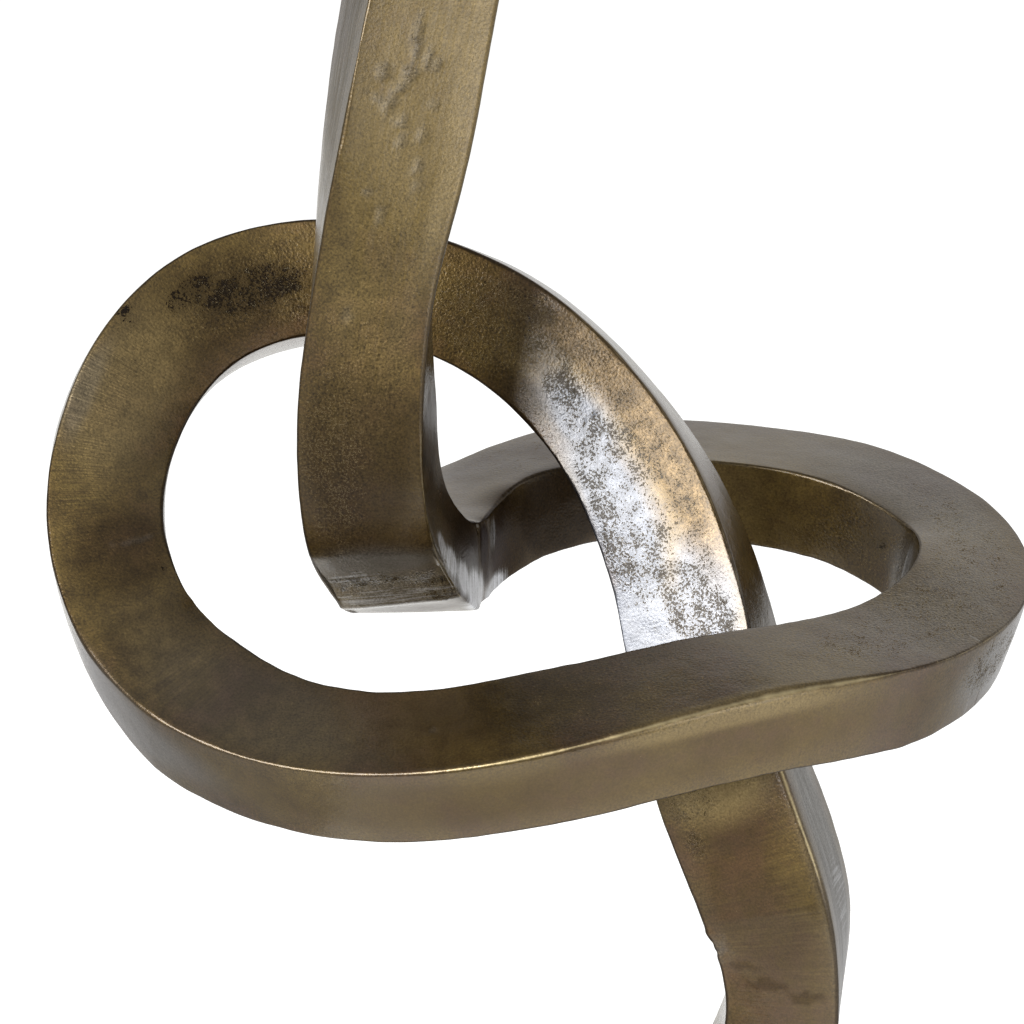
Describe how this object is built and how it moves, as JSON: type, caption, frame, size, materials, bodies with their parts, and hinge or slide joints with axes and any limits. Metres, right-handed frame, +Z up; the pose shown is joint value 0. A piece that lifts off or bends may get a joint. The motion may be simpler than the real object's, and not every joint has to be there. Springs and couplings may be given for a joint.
{
  "type": "knot sculpture",
  "caption": "Free-standing sculpture of a cast metal band tied in an open overhand knot, its leg standing on a low rectangular base plate with felt beneath.",
  "frame": {"origin": "centre of the base on the surface that the sculpture stands on", "axes": "+Z up, +X to the right as seen from the front, +Y from front to back"},
  "size_m": [0.2877, 0.1854, 0.5315],
  "materials": {
    "cast_band": "sand cast, ground by hand, antique brass patina under clear lacquer",
    "weld_seams": "weld bead dressed flush and patinated with the castings",
    "dowel_pins": "ground steel",
    "base_plate": "cast, ground and patinated to match the band",
    "fasteners": "zinc plated steel",
    "felt": "pressed wool felt"
  },
  "bodies": {
    "root": {"top_bar": "cast_band", "drop_bar": "cast_band", "heel_bend": "cast_band", "back_rail": "cast_band", "right_bend": "cast_band", "front_rail": "cast_band", "left_loop": "cast_band", "diving_bar": "cast_band", "lower_leg": "cast_band", "foot_bar": "cast_band", "top_weld": "weld_seams", "heel_front_weld": "weld_seams", "heel_back_weld": "weld_seams", "back_weld": "weld_seams", "right_weld": "weld_seams", "left_weld": "weld_seams", "crown_weld": "weld_seams", "ring_weld": "weld_seams", "leg_weld": "weld_seams", "top_pins": "dowel_pins", "heel_front_pins": "dowel_pins", "heel_back_pins": "dowel_pins", "back_pins": "dowel_pins", "right_pins": "dowel_pins", "left_pins": "dowel_pins", "crown_pins": "dowel_pins", "ring_pins": "dowel_pins", "leg_pins": "dowel_pins", "base_plate": "base_plate", "base_screws": "fasteners", "base_washers": "fasteners", "felt_sheet": "felt"}
  },
  "joints": []
}
